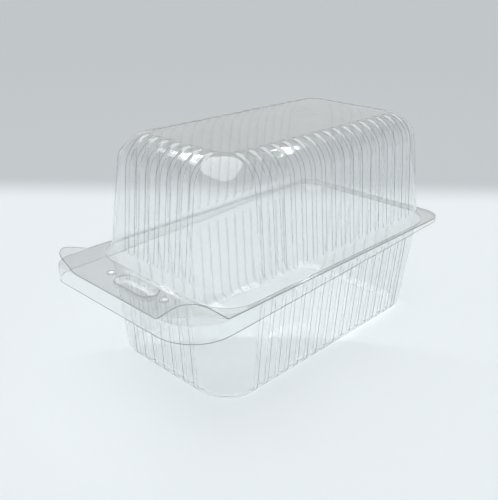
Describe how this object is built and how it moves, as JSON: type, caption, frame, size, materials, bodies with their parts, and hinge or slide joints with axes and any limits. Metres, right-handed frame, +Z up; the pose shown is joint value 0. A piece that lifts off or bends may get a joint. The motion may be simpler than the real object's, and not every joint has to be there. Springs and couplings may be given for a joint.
{
  "type": "clear plastic clamshell pack",
  "caption": "Clear thermoformed loaf pack: a deep ribbed tray and a ribbed domed lid on a hinge fold, with a front tab, lock recess and lifted opening ears.",
  "frame": {"origin": "on the table, under the middle of the pack", "axes": "+X from the front tab to the hinge, +Y across the pack, +Z up"},
  "size_m": [0.248, 0.13, 0.1467],
  "materials": {
    "clear_film": "glossy, clear"
  },
  "bodies": {
    "base": {"base_tray": "clear_film"},
    "lid": {"hinged_lid": "clear_film"}
  },
  "joints": [
    {"name": "lid_hinge", "type": "hinge", "parent": "base", "child": "lid", "pos_m": [0.124, 0, 0.07005], "axis": [0, 1, 0], "range_deg": [0, 165]}
  ]
}
